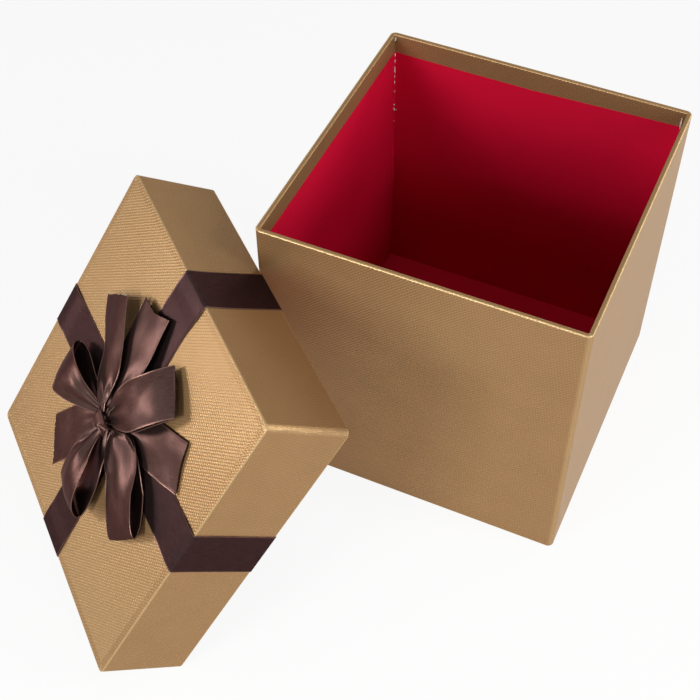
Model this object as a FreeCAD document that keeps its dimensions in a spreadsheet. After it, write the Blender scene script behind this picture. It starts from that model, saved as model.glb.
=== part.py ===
import FreeCAD, Part
import Sketcher
import math
import os

# Gift box with a lift-off lid and a ribbon bow. The origin is the centre of the box's underside,
# +Z is up and +Y runs from the front of the box to its back. The lid has its own frame, with its
# origin in the middle of its open rim and its top face at the lid's depth above that.

# Driving sizes in millimetres and degrees
SIZES = {
    "box_side": 165.0,
    "box_height": 170.0,
    "corner_radius": 3.0,
    "base_board": 2.0,
    "lid_board": 1.8,
    "paper": 0.25,
    "base_turn_in": 16.0,
    "base_liner_drop": 11.0,
    "bottom_turn_in": 15.0,
    "underside_margin": 3.0,
    "stay_leg": 14.0,
    "lid_depth": 45.0,
    "lid_clearance": 0.7,
    "lid_turn_in": 16.0,
    "lid_liner_drop": 11.0,
    "lean_turn_angle": -41.43,
    "lean_tilt_angle": 56.59,
    "lean_shift": 15.89,
    "lean_gap": 0.3,
    "ribbon_width": 25.0,
    "ribbon_thickness": 0.35,
    "ribbon_turn_in": 9.0,
    "cross_band_shift": 2.0,
    "crossing_ramp": 4.0,
    "glue_pad_diameter": 8.0,
    "glue_pad_thickness": 0.5,
    "knot_shift": 1.0,
    "knot_length": 15.0,
    "knot_width": 9.0,
    "knot_height": 10.0,
    "knot_rounding": 2.0,
    "bow_root_gap": 0.25,
    "bow_root_width": 5.0,
    "bow_layer_gap": 1.1,
}

# Each loop leaves the knot along its heading, folds over at its reach and comes back underneath.
# Rises are heights above the lid's top, and the gape is the height of the loop's opening.
LOOPS = {
    "bow_loop_upper_right": {
        "heading_angle": 59.0, "reach": 49.5, "root_rise": 5.8, "end_rise": 6.0, "arch": 2.0,
        "gape": 4.0, "roll_angle": -4.0, "drift": 0.0, "flare_share": 0.5,
    },
    "bow_loop_lower_right": {
        "heading_angle": -38.0, "reach": 49.5, "root_rise": 4.6, "end_rise": 4.3, "arch": 1.0,
        "gape": 5.5, "roll_angle": 0.0, "drift": 9.0, "flare_share": 0.4,
    },
    "bow_loop_bottom": {
        "heading_angle": -77.0, "reach": 47.0, "root_rise": 6.5, "end_rise": 5.5, "arch": 3.0,
        "gape": 9.0, "roll_angle": 0.0, "drift": 0.0, "flare_share": 0.6,
    },
    "bow_loop_left": {
        "heading_angle": -168.0, "reach": 42.0, "root_rise": 6.5, "end_rise": 6.0, "arch": 3.0,
        "gape": 9.0, "roll_angle": 7.0, "drift": 0.0, "flare_share": 0.5,
    },
}
TAILS = {
    "bow_tail_upper_left": {
        "heading_angle": 131.0, "reach": 51.0, "root_rise": 9.5, "end_rise": 8.5, "arch": 0.0,
        "roll_angle": -8.0, "drift": 0.0, "flare_share": 0.7,
    },
    "bow_tail_top": {
        "heading_angle": 101.0, "reach": 54.0, "root_rise": 7.8, "end_rise": 4.5, "arch": 0.0,
        "roll_angle": 0.0, "drift": 0.0, "flare_share": 0.7,
    },
    "bow_tail_right": {
        "heading_angle": 25.5, "reach": 55.5, "root_rise": 1.6, "end_rise": 1.2, "arch": 0.0,
        "roll_angle": 0.0, "drift": 0.0, "flare_share": 0.6,
    },
    "bow_tail_lower_left": {
        "heading_angle": -122.0, "reach": 53.5, "root_rise": 3.5, "end_rise": 2.5, "arch": 1.0,
        "roll_angle": 0.0, "drift": 0.0, "flare_share": 0.6,
    },
}
LOOP_STEPS = 24
TAIL_STEPS = 8
DRIFT_END_SHARE = 0.4

# Lengths that follow from the driving sizes, as expressions on the sheet
BASE_OUTER = "(sizes.box_side - 2 * sizes.paper)"
BASE_INNER = "(sizes.box_side - 2 * sizes.paper - 2 * sizes.base_board)"
BASE_LINED = "(sizes.box_side - 4 * sizes.paper - 2 * sizes.base_board)"
LID_SIDE = "(sizes.box_side + 2 * sizes.lid_clearance + 4 * sizes.paper + 2 * sizes.lid_board)"
LID_OUTER = "(sizes.box_side + 2 * sizes.lid_clearance + 2 * sizes.paper + 2 * sizes.lid_board)"
LID_INNER = "(sizes.box_side + 2 * sizes.lid_clearance + 2 * sizes.paper)"
LID_LINED = "(sizes.box_side + 2 * sizes.lid_clearance)"
SKIN_RADIUS = "sizes.corner_radius"
BOARD_RADIUS = "(sizes.corner_radius - sizes.paper)"
FLOOR_TOP = "(2 * sizes.paper + sizes.base_board)"
LID_CEILING = "(sizes.lid_depth - sizes.paper - sizes.lid_board)"

doc = FreeCAD.newDocument("gift_box")
sheet = doc.addObject("Spreadsheet::Sheet", "sizes")
parts = []


def fill_sheet():
    rows = dict(SIZES)
    for node, spec in {**LOOPS, **TAILS}.items():
        for key, number in spec.items():
            rows[f"{node}_{key}"] = number
    for row, (alias, number) in enumerate(rows.items(), start=1):
        sheet.set(f"A{row}", alias)
        sheet.set(f"B{row}", str(number))
        sheet.setAlias(f"B{row}", alias)
    doc.recompute()


def size(alias):
    return float(sheet.get(alias))


def worked_out(expression):
    return float(sheet.evalExpression(expression))


def sub_part(shape_object, label, placement=None):
    shape_object.Label = label
    if placement is not None:
        shape_object.Placement = placement
    parts.append(shape_object)


def origin_plane(body, role):
    return next(plane for plane in body.Origin.OriginFeatures if plane.Role == role)


def new_sketch(body, name, plane_role, offset="0"):
    sketch = body.newObject("Sketcher::SketchObject", name)
    sketch.AttachmentSupport = (origin_plane(body, plane_role), [""])
    sketch.MapMode = "FlatFace"
    sketch.setExpression("AttachmentOffset.Base.z", offset)
    return sketch


def bind(sketch, constraint, name, expression):
    index = sketch.addConstraint(constraint)
    sketch.renameConstraint(index, name)
    sketch.setExpression(f"Constraints.{name}", expression)


def add_square(sketch, side, name):
    half = worked_out(side) / 2
    corners = [(-half, -half), (half, -half), (half, half), (-half, half)]
    points = [FreeCAD.Vector(x, y, 0) for x, y in corners]
    first = sketch.GeometryCount
    for i in range(4):
        sketch.addGeometry(Part.LineSegment(points[i], points[(i + 1) % 4]), False)
    for i in range(4):
        line = first + i
        following = first + (i + 1) % 4
        sketch.addConstraint(Sketcher.Constraint("Coincident", line, 2, following, 1))
        direction = "Horizontal" if i % 2 == 0 else "Vertical"
        sketch.addConstraint(Sketcher.Constraint(direction, line))
    sketch.addConstraint(Sketcher.Constraint("Equal", first, first + 1))
    sketch.addConstraint(Sketcher.Constraint("Symmetric", first, 1, first + 2, 1, -1, 1))
    bind(sketch, Sketcher.Constraint("DistanceX", first, 1, first, 2, 2 * half), name, side)


def add_rounded_square(sketch, side, radius, name):
    half = worked_out(side) / 2
    corner = worked_out(radius)
    straight = half - corner
    first = sketch.GeometryCount
    for i in range(4):
        turn = FreeCAD.Rotation(FreeCAD.Vector(0, 0, 1), 90 * i)
        start = turn.multVec(FreeCAD.Vector(-straight, -half, 0))
        end = turn.multVec(FreeCAD.Vector(straight, -half, 0))
        centre = turn.multVec(FreeCAD.Vector(straight, -straight, 0))
        circle = Part.Circle(centre, FreeCAD.Vector(0, 0, 1), corner)
        start_angle = math.radians(90 * (i - 1))
        sketch.addGeometry(Part.LineSegment(start, end), False)
        sketch.addGeometry(Part.ArcOfCircle(circle, start_angle, start_angle + math.pi / 2), False)
    for i in range(4):
        line = first + 2 * i
        arc = line + 1
        following = first + (2 * i + 2) % 8
        sketch.addConstraint(Sketcher.Constraint("Tangent", line, 2, arc, 1))
        sketch.addConstraint(Sketcher.Constraint("Tangent", arc, 2, following, 1))
        direction = "Horizontal" if i % 2 == 0 else "Vertical"
        sketch.addConstraint(Sketcher.Constraint(direction, line))
    for i in range(1, 4):
        sketch.addConstraint(Sketcher.Constraint("Equal", first + 1, first + 1 + 2 * i))
    sketch.addConstraint(Sketcher.Constraint("Equal", first, first + 2))
    sketch.addConstraint(Sketcher.Constraint("Symmetric", first, 1, first + 4, 1, -1, 1))
    bind(sketch, Sketcher.Constraint("Radius", first + 1, corner), f"{name}_radius", radius)
    across = Sketcher.Constraint("DistanceY", first, 1, first + 4, 2, 2 * half)
    bind(sketch, across, name, side)


def add_polygon(sketch, points, name):
    count = len(points)
    places = [FreeCAD.Vector(worked_out(x), worked_out(y), 0) for x, y in points]
    for i in range(count):
        sketch.addGeometry(Part.LineSegment(places[i], places[(i + 1) % count]), False)
    for i in range(count):
        sketch.addConstraint(Sketcher.Constraint("Coincident", i, 2, (i + 1) % count, 1))
    for i, (x, y) in enumerate(points):
        along = Sketcher.Constraint("DistanceX", -1, 1, i, 1, places[i].x)
        up = Sketcher.Constraint("DistanceY", -1, 1, i, 1, places[i].y)
        bind(sketch, along, f"{name}_x{i}", x)
        bind(sketch, up, f"{name}_y{i}", y)


def add_pad(body, sketch, name, length, midplane=False):
    pad = body.newObject("PartDesign::Pad", name)
    pad.Profile = sketch
    pad.setExpression("Length", length)
    if midplane:
        pad.SideType = "Symmetric"
    return pad


def new_body(name):
    return doc.addObject("PartDesign::Body", name)


def square_layer(body, name, outlines, bottom, height):
    # Outlines are (side, radius) pairs, where a square with no radius has sharp corners
    sketch = new_sketch(body, f"{name}_sketch", "XY_Plane", bottom)
    for number, (side, radius) in enumerate(outlines):
        if radius is None:
            add_square(sketch, side, f"side{number}")
        else:
            add_rounded_square(sketch, side, radius, f"side{number}")
    add_pad(body, sketch, name, height)


def flat_sheet(label, side, bottom, height, placement=None):
    body = new_body(f"{label}_body")
    square_layer(body, f"{label}_pad", [(side, None)], bottom, height)
    sub_part(body, label, placement)


def wall_liner(label, outer, inner, bottom, height, placement=None):
    body = new_body(f"{label}_body")
    square_layer(body, f"{label}_pad", [(outer, None), (inner, None)], bottom, height)
    sub_part(body, label, placement)


def bound_box(name, side_x, side_y, height, bottom):
    box = doc.addObject("Part::Box", name)
    box.setExpression("Length", side_x)
    box.setExpression("Width", side_y)
    box.setExpression("Height", height)
    box.setExpression("Placement.Base.x", f"-{side_x} / 2")
    box.setExpression("Placement.Base.y", f"-{side_y} / 2")
    box.setExpression("Placement.Base.z", bottom)
    return box


def mitred_walls(prefix, outer, inner, bottom, height, placement=None):
    # One ring of board, cut along its diagonals into four boards that meet in mitres
    ring = new_body(f"{prefix}_ring")
    square_layer(ring, f"{prefix}_ring_pad", [(outer, BOARD_RADIUS), (inner, None)], bottom, height)
    for number, where in enumerate(("front", "right", "back", "left")):
        quarter = doc.addObject("Part::Box", f"{prefix}_{where}_quarter")
        quarter.setExpression("Length", outer)
        quarter.setExpression("Width", outer)
        quarter.setExpression("Height", f"{height} + {bottom}")
        upright = FreeCAD.Vector(0, 0, 1)
        quarter.Placement = FreeCAD.Placement(FreeCAD.Vector(), FreeCAD.Rotation(upright, 90 * number - 135))
        board = doc.addObject("Part::Common", f"{prefix}_{where}_common")
        board.Base = ring
        board.Tool = quarter
        sub_part(board, f"{prefix}_{where}_board", placement)


def corner_stays(label, inner, lined, bottom, height, placement=None):
    # Four paper angles in the board's inside corners, behind the liner
    between = f"({inner} - 2 * sizes.stay_leg)"
    block = bound_box(f"{label}_block", inner, inner, height, bottom)
    middle = bound_box(f"{label}_middle", lined, lined, height, bottom)
    strip_x = bound_box(f"{label}_strip_x", between, inner, height, bottom)
    strip_y = bound_box(f"{label}_strip_y", inner, between, height, bottom)
    removed = doc.addObject("Part::MultiFuse", f"{label}_removed")
    removed.Shapes = [middle, strip_x, strip_y]
    stays = doc.addObject("Part::Cut", f"{label}_cut")
    stays.Base = block
    stays.Tool = removed
    sub_part(stays, label, placement)


def base_box():
    wall_bottom = "(2 * sizes.paper)"
    wall_height = "(sizes.box_height - 3 * sizes.paper)"
    flat_sheet("base_underside_sheet", "(sizes.box_side - 2 * sizes.underside_margin)", "0", "sizes.paper")
    flat_sheet("base_floor_board", BASE_INNER, wall_bottom, "sizes.base_board")
    mitred_walls("base", BASE_OUTER, BASE_INNER, wall_bottom, wall_height)
    corner_stays("base_corner_stays", BASE_INNER, BASE_LINED, FLOOR_TOP,
                 f"(sizes.box_height - sizes.base_turn_in - {FLOOR_TOP})")

    wrap = new_body("base_wrap_body")
    rim_under = "(sizes.box_height - sizes.paper)"
    turn_in_foot = "(sizes.box_height - sizes.base_turn_in)"
    flange_inner = "(sizes.box_side - 2 * sizes.bottom_turn_in)"
    square_layer(wrap, "base_skin", [("sizes.box_side", SKIN_RADIUS), (BASE_OUTER, BOARD_RADIUS)],
                 "sizes.paper", rim_under)
    square_layer(wrap, "base_rim", [("sizes.box_side", SKIN_RADIUS), (BASE_LINED, None)],
                 rim_under, "sizes.paper")
    square_layer(wrap, "base_inside_turn", [(BASE_INNER, None), (BASE_LINED, None)],
                 turn_in_foot, "sizes.base_turn_in")
    square_layer(wrap, "base_bottom_turn", [("sizes.box_side", SKIN_RADIUS), (flange_inner, None)],
                 "sizes.paper", "sizes.paper")
    sub_part(wrap, "base_wrap")

    flat_sheet("base_floor_liner", BASE_LINED, FLOOR_TOP, "sizes.paper")
    liner_height = f"(sizes.box_height - sizes.base_liner_drop - {FLOOR_TOP} - sizes.paper)"
    wall_liner("base_wall_liner", BASE_LINED, f"({BASE_LINED} - 2 * sizes.paper)",
               f"({FLOOR_TOP} + sizes.paper)", liner_height)


def leaning_placement():
    # The lid stands on its lower rim and rests its upper rim against the box's front left corner
    turn = math.radians(size("lean_turn_angle"))
    tilt = math.radians(size("lean_tilt_angle"))
    half_lid = worked_out(LID_SIDE) / 2
    corner_in = size("box_side") / 2 - size("corner_radius")
    along_rim = FreeCAD.Vector(math.cos(turn), math.sin(turn), 0)
    towards_box = FreeCAD.Vector(-math.sin(turn), math.cos(turn), 0)
    corner_centre = FreeCAD.Vector(-corner_in, -corner_in, 0)
    clear = size("corner_radius") + size("lean_gap")
    near = corner_centre.dot(towards_box) - clear - half_lid * math.cos(tilt)
    lift = half_lid * math.sin(tilt) + size("ribbon_thickness") * (math.sin(tilt) + math.cos(tilt))
    base = towards_box * near + along_rim * size("lean_shift") + FreeCAD.Vector(0, 0, lift)
    about_z = FreeCAD.Rotation(FreeCAD.Vector(0, 0, 1), size("lean_turn_angle"))
    about_x = FreeCAD.Rotation(FreeCAD.Vector(1, 0, 0), size("lean_tilt_angle"))
    return FreeCAD.Placement(base, about_z * about_x)


def lid(lean):
    wall_height = "(sizes.lid_depth - 2 * sizes.paper)"
    flat_sheet("lid_top_board", LID_INNER, LID_CEILING, "sizes.lid_board", lean)
    mitred_walls("lid", LID_OUTER, LID_INNER, "sizes.paper", wall_height, lean)
    corner_stays("lid_corner_stays", LID_INNER, LID_LINED, "sizes.lid_turn_in",
                 f"({LID_CEILING} - sizes.lid_turn_in)", lean)

    wrap = new_body("lid_wrap_body")
    top_under = "(sizes.lid_depth - sizes.paper)"
    square_layer(wrap, "lid_skin", [(LID_SIDE, SKIN_RADIUS), (LID_OUTER, BOARD_RADIUS)],
                 "0", "sizes.lid_depth")
    square_layer(wrap, "lid_face", [(LID_SIDE, SKIN_RADIUS)], top_under, "sizes.paper")
    square_layer(wrap, "lid_rim", [(LID_SIDE, SKIN_RADIUS), (LID_LINED, None)], "0", "sizes.paper")
    square_layer(wrap, "lid_inside_turn", [(LID_INNER, None), (LID_LINED, None)],
                 "0", "sizes.lid_turn_in")
    sub_part(wrap, "lid_wrap", lean)

    flat_sheet("lid_top_liner", LID_LINED, f"({LID_CEILING} - sizes.paper)", "sizes.paper", lean)
    wall_liner("lid_skirt_liner", LID_LINED, f"({LID_LINED} - 2 * sizes.paper)", "sizes.lid_liner_drop",
               f"({LID_CEILING} - sizes.paper - sizes.lid_liner_drop)", lean)


def band_profile(crossing):
    # The ribbon goes up inside one rim, round it, over the lid and into the opposite rim
    outside = f"({LID_SIDE} / 2)"
    inside = f"({LID_LINED} / 2)"
    gauge = "sizes.ribbon_thickness"
    step = "(sizes.ribbon_width / 2)"
    right_under = [
        (inside, "sizes.ribbon_turn_in"),
        (inside, "0"),
        (outside, "0"),
        (outside, "sizes.lid_depth"),
    ]
    right_over = [
        (f"({inside} - {gauge})", "sizes.ribbon_turn_in"),
        (f"({inside} - {gauge})", f"(-{gauge})"),
        (f"({outside} + {gauge})", f"(-{gauge})"),
        (f"({outside} + {gauge})", f"(sizes.lid_depth + {gauge})"),
    ]
    if crossing:
        foot = f"({step} + sizes.crossing_ramp)"
        right_under.append((foot, "sizes.lid_depth"))
        right_under.append((step, f"(sizes.lid_depth + {gauge})"))
        right_over.append((foot, f"(sizes.lid_depth + {gauge})"))
        right_over.append((step, f"(sizes.lid_depth + 2 * {gauge})"))
    left_under = [(f"(-{x})", y) for x, y in reversed(right_under)]
    left_over = [(f"(-{x})", y) for x, y in right_over]
    return right_under + left_under + left_over + list(reversed(right_over))


def ribbon_bands(lean):
    long_band = new_body("ribbon_band_long_body")
    sketch = new_sketch(long_band, "long_band_sketch", "YZ_Plane")
    add_polygon(sketch, band_profile(crossing=False), "long")
    add_pad(long_band, sketch, "long_band_pad", "sizes.ribbon_width", midplane=True)
    sub_part(long_band, "ribbon_band_long", lean)

    cross_band = new_body("ribbon_band_cross_body")
    sketch = new_sketch(cross_band, "cross_band_sketch", "XZ_Plane", "-sizes.cross_band_shift")
    add_polygon(sketch, band_profile(crossing=True), "cross")
    add_pad(cross_band, sketch, "cross_band_pad", "sizes.ribbon_width", midplane=True)
    sub_part(cross_band, "ribbon_band_cross", lean)


def knot_and_pad(lean):
    crossing_top = size("lid_depth") + 2 * size("ribbon_thickness")
    pad_foot = FreeCAD.Vector(0, size("knot_shift"), crossing_top)
    pad = doc.addObject("Part::Cylinder", "glue_pad_cylinder")
    pad.setExpression("Radius", "sizes.glue_pad_diameter / 2")
    pad.setExpression("Height", "sizes.glue_pad_thickness")
    sub_part(pad, "bow_glue_pad", lean * FreeCAD.Placement(pad_foot, FreeCAD.Rotation()))

    body = new_body("bow_knot_body")
    sketch = new_sketch(body, "knot_sketch", "XY_Plane")
    half_length = size("knot_length") / 2
    half_width = size("knot_width") / 2
    sketch.addGeometry(Part.Ellipse(FreeCAD.Vector(), half_length, half_width), False)
    sketch.exposeInternalGeometry(0)
    sketch.addConstraint(Sketcher.Constraint("Coincident", 0, 3, -1, 1))
    sketch.addConstraint(Sketcher.Constraint("Horizontal", 1))
    bind(sketch, Sketcher.Constraint("Distance", 1, 2 * half_length), "length", "sizes.knot_length")
    bind(sketch, Sketcher.Constraint("Distance", 2, 2 * half_width), "width", "sizes.knot_width")
    barrel = add_pad(body, sketch, "knot_pad", "sizes.knot_height")
    doc.recompute()
    rims = [f"Edge{i}" for i, edge in enumerate(barrel.Shape.Edges, start=1) if edge.isClosed()]
    fillet = body.newObject("PartDesign::Fillet", "knot_fillet")
    fillet.Base = (barrel, rims)
    fillet.setExpression("Radius", "sizes.knot_rounding")
    knot_foot = pad_foot + FreeCAD.Vector(0, 0, size("glue_pad_thickness"))
    sub_part(body, "bow_knot", lean * FreeCAD.Placement(knot_foot, FreeCAD.Rotation()))


def eased(share):
    share = min(max(share, 0.0), 1.0)
    return share * share * (3 - 2 * share)


def loop_path(node):
    # Pairs of (share of the reach, rise), out along the upper layer and back along the lower one
    gape_peak = 4 / (3 * math.sqrt(3))
    path = []
    for step in range(LOOP_STEPS + 1):
        angle = math.pi * step / LOOP_STEPS
        share = math.sin(angle) ** 2
        opening = size(f"{node}_gape") / 2 * share * math.cos(angle) / (gape_peak / 2)
        layer = size("bow_layer_gap") / 2 * math.cos(angle)
        path.append((share, centre_rise(node, share) + opening + layer))
    return path


def tail_path(node):
    shares = [step / TAIL_STEPS for step in range(TAIL_STEPS + 1)]
    return [(share, centre_rise(node, share)) for share in shares]


def centre_rise(node, share):
    root = size(f"{node}_root_rise")
    end = size(f"{node}_end_rise")
    return root + (end - root) * share + size(f"{node}_arch") * 4 * share * (1 - share)


def skinned_solid(sections):
    # Ruled faces between each section's corners and the next one's, with a flat face at each end
    faces = [Part.Face(Part.makePolygon(ring + ring[:1])) for ring in (sections[0], sections[-1])]
    for ring, following in zip(sections, sections[1:]):
        for i in range(len(ring)):
            j = (i + 1) % len(ring)
            edge = Part.makeLine(ring[i], ring[j])
            next_edge = Part.makeLine(following[i], following[j])
            faces.append(Part.makeRuledSurface(edge, next_edge))
    shell = Part.makeShell(faces)
    shell.sewShape()
    solid = Part.makeSolid(shell)
    if solid.Volume < 0:
        solid.reverse()
    return solid


def bow_ribbon(node, path, lean):
    heading = math.radians(size(f"{node}_heading_angle"))
    outward = FreeCAD.Vector(math.cos(heading), math.sin(heading), 0)
    sideways = FreeCAD.Vector(-math.sin(heading), math.cos(heading), 0)
    upward = FreeCAD.Vector(0, 0, 1)
    knot_edge = math.hypot(outward.x * size("knot_length"), outward.y * size("knot_width")) / 2
    start = knot_edge + size("bow_root_gap")
    centre = FreeCAD.Vector(0, size("knot_shift"), size("lid_depth"))
    points = []
    for share, rise in path:
        drift = size(f"{node}_drift") * eased(share / DRIFT_END_SHARE)
        along = start + size(f"{node}_reach") * share
        points.append(centre + outward * along + sideways * drift + upward * rise)
    sections = []
    for i, (share, _) in enumerate(path):
        before = points[max(i - 1, 0)]
        after = points[min(i + 1, len(points) - 1)]
        tangent = (after - before).normalize()
        level = (sideways - tangent * sideways.dot(tangent)).normalize()
        roll = math.radians(size(f"{node}_roll_angle")) * eased(share)
        across = (level * math.cos(roll) + upward * math.sin(roll)).normalize()
        through = tangent.cross(across).normalize()
        fullness = eased(share / size(f"{node}_flare_share"))
        root_width = size("bow_root_width")
        half_width = across * ((root_width + (size("ribbon_width") - root_width) * fullness) / 2)
        half_gauge = through * (size("ribbon_thickness") / 2)
        sections.append([
            points[i] + half_width + half_gauge,
            points[i] - half_width + half_gauge,
            points[i] - half_width - half_gauge,
            points[i] + half_width - half_gauge,
        ])
    feature = doc.addObject("Part::Feature", f"{node}_strip")
    feature.Shape = skinned_solid(sections)
    sub_part(feature, node, lean)


def bow(lean):
    knot_and_pad(lean)
    for node in LOOPS:
        bow_ribbon(node, loop_path(node), lean)
    for node in TAILS:
        bow_ribbon(node, tail_path(node), lean)


def check_and_export():
    doc.recompute()
    for item in doc.Objects:
        if "Invalid" in item.State or "Error" in item.State:
            raise RuntimeError(f"{item.Label} failed: {item.State}")
    for part in parts:
        shape = part.Shape
        if shape.isNull() or not shape.isValid() or not shape.Solids:
            raise RuntimeError(f"{part.Label} has no valid solid")
    os.makedirs("parts", exist_ok=True)
    for part in parts:
        part.Shape.exportStep(f"parts/{part.Label}.step")
        print(f"{part.Label}: {len(part.Shape.Solids)} solids, {part.Shape.Volume:.1f} cubic mm")


fill_sheet()
base_box()
lean = leaning_placement()
lid(lean)
ribbon_bands(lean)
bow(lean)
check_and_export()
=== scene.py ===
import math
import random

import bmesh
import bpy
from mathutils import Matrix, Vector
from mathutils.noise import noise as noise_at


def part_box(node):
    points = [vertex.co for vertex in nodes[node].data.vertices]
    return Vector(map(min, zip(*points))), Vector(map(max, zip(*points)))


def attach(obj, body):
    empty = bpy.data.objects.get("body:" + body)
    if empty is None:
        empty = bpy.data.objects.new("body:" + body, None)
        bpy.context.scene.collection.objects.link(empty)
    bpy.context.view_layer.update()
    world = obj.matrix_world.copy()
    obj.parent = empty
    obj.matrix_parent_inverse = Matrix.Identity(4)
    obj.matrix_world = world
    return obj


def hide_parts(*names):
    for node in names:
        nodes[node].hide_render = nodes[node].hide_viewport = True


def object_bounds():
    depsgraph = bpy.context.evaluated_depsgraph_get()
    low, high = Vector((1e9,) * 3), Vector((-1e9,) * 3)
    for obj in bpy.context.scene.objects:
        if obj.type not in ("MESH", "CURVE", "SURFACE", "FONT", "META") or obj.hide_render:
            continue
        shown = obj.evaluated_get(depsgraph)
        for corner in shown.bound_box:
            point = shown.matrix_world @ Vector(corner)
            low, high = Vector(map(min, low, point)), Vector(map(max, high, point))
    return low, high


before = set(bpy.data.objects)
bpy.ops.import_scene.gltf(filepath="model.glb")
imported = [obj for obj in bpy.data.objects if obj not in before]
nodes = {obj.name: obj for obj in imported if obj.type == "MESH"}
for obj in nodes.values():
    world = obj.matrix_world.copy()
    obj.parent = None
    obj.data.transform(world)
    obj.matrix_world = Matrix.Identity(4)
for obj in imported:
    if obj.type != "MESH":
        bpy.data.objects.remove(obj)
cad_low, cad_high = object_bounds()

MM = 0.001
SHEET_MAP = "sheet"
FOLD_WEAR_AND_HIGHLIGHT_MASK = "fold"
UP = Vector((0, 0, 1))

# Camera at the photograph's viewing angle
CAMERA_EYE = Vector((147.6, -474.8, 619.2)) * MM
CAMERA_TARGET = Vector((-49.9, -46.9, 60.0)) * MM
CAMERA_ROLL = math.radians(-0.59)
CAMERA_LENS = 70.06
CAMERA_SENSOR = 36.0

# Paper, board and edge sizes
PAPER = 0.25 * MM
CORNER_RADIUS = 3.0 * MM
EDGE_RADIUS = 0.6 * MM
SMALLEST_RADIUS = 0.3 * MM
EDGE_SUPPORT = 0.35 * MM
ARC_STEPS = 5
CORNER_STEPS = 7
SHARP_ANGLE = math.radians(40.0)
BASE_TURN_IN = 16.0 * MM
BOTTOM_TURN_IN = 15.0 * MM
LID_TURN_IN = 16.0 * MM
LID_TOP_BORDER = 4.0 * MM

# How burnished the gold paper is, from 0 to 1, on the three fold lines of each wrap and on the upright
# corners. The paler burnished colour there also paints a highlight line along each fold.
BASE_FOLD_WEAR_AND_HIGHLIGHT = (0.5, 0.65, 0.15)
LID_FOLD_WEAR_AND_HIGHLIGHT = (0.4, 0.6, 0.3)
CORNER_WEAR_AND_HIGHLIGHT = 0.3
FOLD_POINTS = ARC_STEPS + 3
FOLD_FULL_TURN = math.radians(15.0)

# The lid's lean, as in the model
LEAN_TURN = math.radians(-41.43)
LEAN_TILT = math.radians(56.59)

# Ribbon
RIBBON_WIDTH = 25.0 * MM
RIBBON_THICKNESS = 0.35 * MM
RIBBON_LIFT = 0.2 * MM
RIBBON_TURN_IN = 9.0 * MM
SELVAGE_WIDTH = 0.55 * MM
SELVAGE_THICKNESS = 0.5 * MM
SELVAGE_PEAK = 0.3
OUTER_EDGE_THICKNESS = 0.6 * RIBBON_THICKNESS
STRIP_STEPS = 26
BAND_SPACING = 4.0 * MM
CROSSING_HALF = 14.0 * MM
CROSSING_RAMP = 5.0 * MM
CROSSING_GAP = 0.05 * MM

# Bow, with lengths in the lid's own frame. The peak is the greatest value of a sine squared times its cosine.
KNOT_SHIFT = 1.0 * MM
KNOT_LENGTH = 15.0 * MM
KNOT_WIDTH = 9.0 * MM
KNOT_HEIGHT = 9.6 * MM
KNOT_CLEARANCE = 1.2 * MM
KNOT_PLACE = (-1.4 * MM, -0.6 * MM)
ROOT_GAP = 0.25 * MM
ROOT_TUCK = 3.5 * MM
LAYER_GAP = 1.1 * MM
TEARDROP_PEAK = 0.3849
DRIFT_END_SHARE = 0.4
LOOP_STEPS = 110
TAIL_STEPS = 64
TAIL_LIMIT = 1.2
TANGENT_STEPS = 400


def smooth_step(x):
    x = min(max(x, 0.0), 1.0)
    return x * x * (3.0 - 2.0 * x)


def through_points(points, x):
    # A smooth curve through (x, y) points, level beyond its ends
    if x <= points[0][0]:
        return points[0][1]
    if x >= points[-1][0]:
        return points[-1][1]
    last = len(points) - 1
    index = next(i for i in range(last) if x <= points[i + 1][0])
    before, start, end, after = (points[min(max(index + step, 0), last)] for step in (-1, 0, 1, 2))
    span = end[0] - start[0]
    start_slope = (end[1] - before[1]) / (end[0] - before[0]) * span
    end_slope = (after[1] - start[1]) / (after[0] - start[0]) * span
    t = (x - start[0]) / span
    cubic = (2 * t - 3) * t * t
    level = start[1] * (1 + cubic) - end[1] * cubic
    return level + start_slope * t * (1 - t) ** 2 + end_slope * t * t * (t - 1)


# Lid frame, with its origin in the middle of the open rim and its top at the lid's depth
lean = Matrix.Rotation(LEAN_TURN, 3, "Z") @ Matrix.Rotation(LEAN_TILT, 3, "X")


def box_in_lid(node):
    points = [lean.transposed() @ vertex.co for vertex in nodes[node].data.vertices]
    low = Vector([min(point[axis] for point in points) for axis in range(3)])
    high = Vector([max(point[axis] for point in points) for axis in range(3)])
    return low, high


lid_low, lid_high = box_in_lid("lid_wrap")
LID_HALF = (lid_high.x - lid_low.x) / 2
LID_DEPTH = lid_high.z - lid_low.z
lid_origin = lean @ Vector(((lid_low.x + lid_high.x) / 2, (lid_low.y + lid_high.y) / 2, lid_low.z))
LID_PLACE = Matrix.Translation(lid_origin) @ lean.to_4x4()
liner_low, liner_high = box_in_lid("lid_skirt_liner")
LID_WALL = LID_HALF - (liner_high.x - liner_low.x) / 2

# Box sizes from the frame
base_low, base_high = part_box("base_wrap")
BOX_HALF = base_high.x
BOX_TOP = base_high.z
BOX_FOOT = base_low.z
wall_liner_low, wall_liner_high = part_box("base_wall_liner")
BASE_WALL = BOX_HALF - wall_liner_high.x


# Short names for making and joining shader nodes
def add_node(tree, kind, inputs=None, **settings):
    made = tree.nodes.new(kind)
    for key, value in settings.items():
        setattr(made, key, value)
    for socket, value in (inputs or {}).items():
        if isinstance(value, bpy.types.NodeSocket):
            tree.links.new(value, made.inputs[socket])
        else:
            made.inputs[socket].default_value = value
    return made


def calculate(tree, operation, first, second=0.0):
    return add_node(tree, "ShaderNodeMath", {0: first, 1: second}, operation=operation).outputs[0]


def wave(tree, distance, pitch):
    turns = calculate(tree, "MULTIPLY", distance, 2 * math.pi / pitch)
    return calculate(tree, "SINE", turns)


def add_share(tree, value, other, share):
    return calculate(tree, "ADD", value, calculate(tree, "MULTIPLY", other, share))


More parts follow.
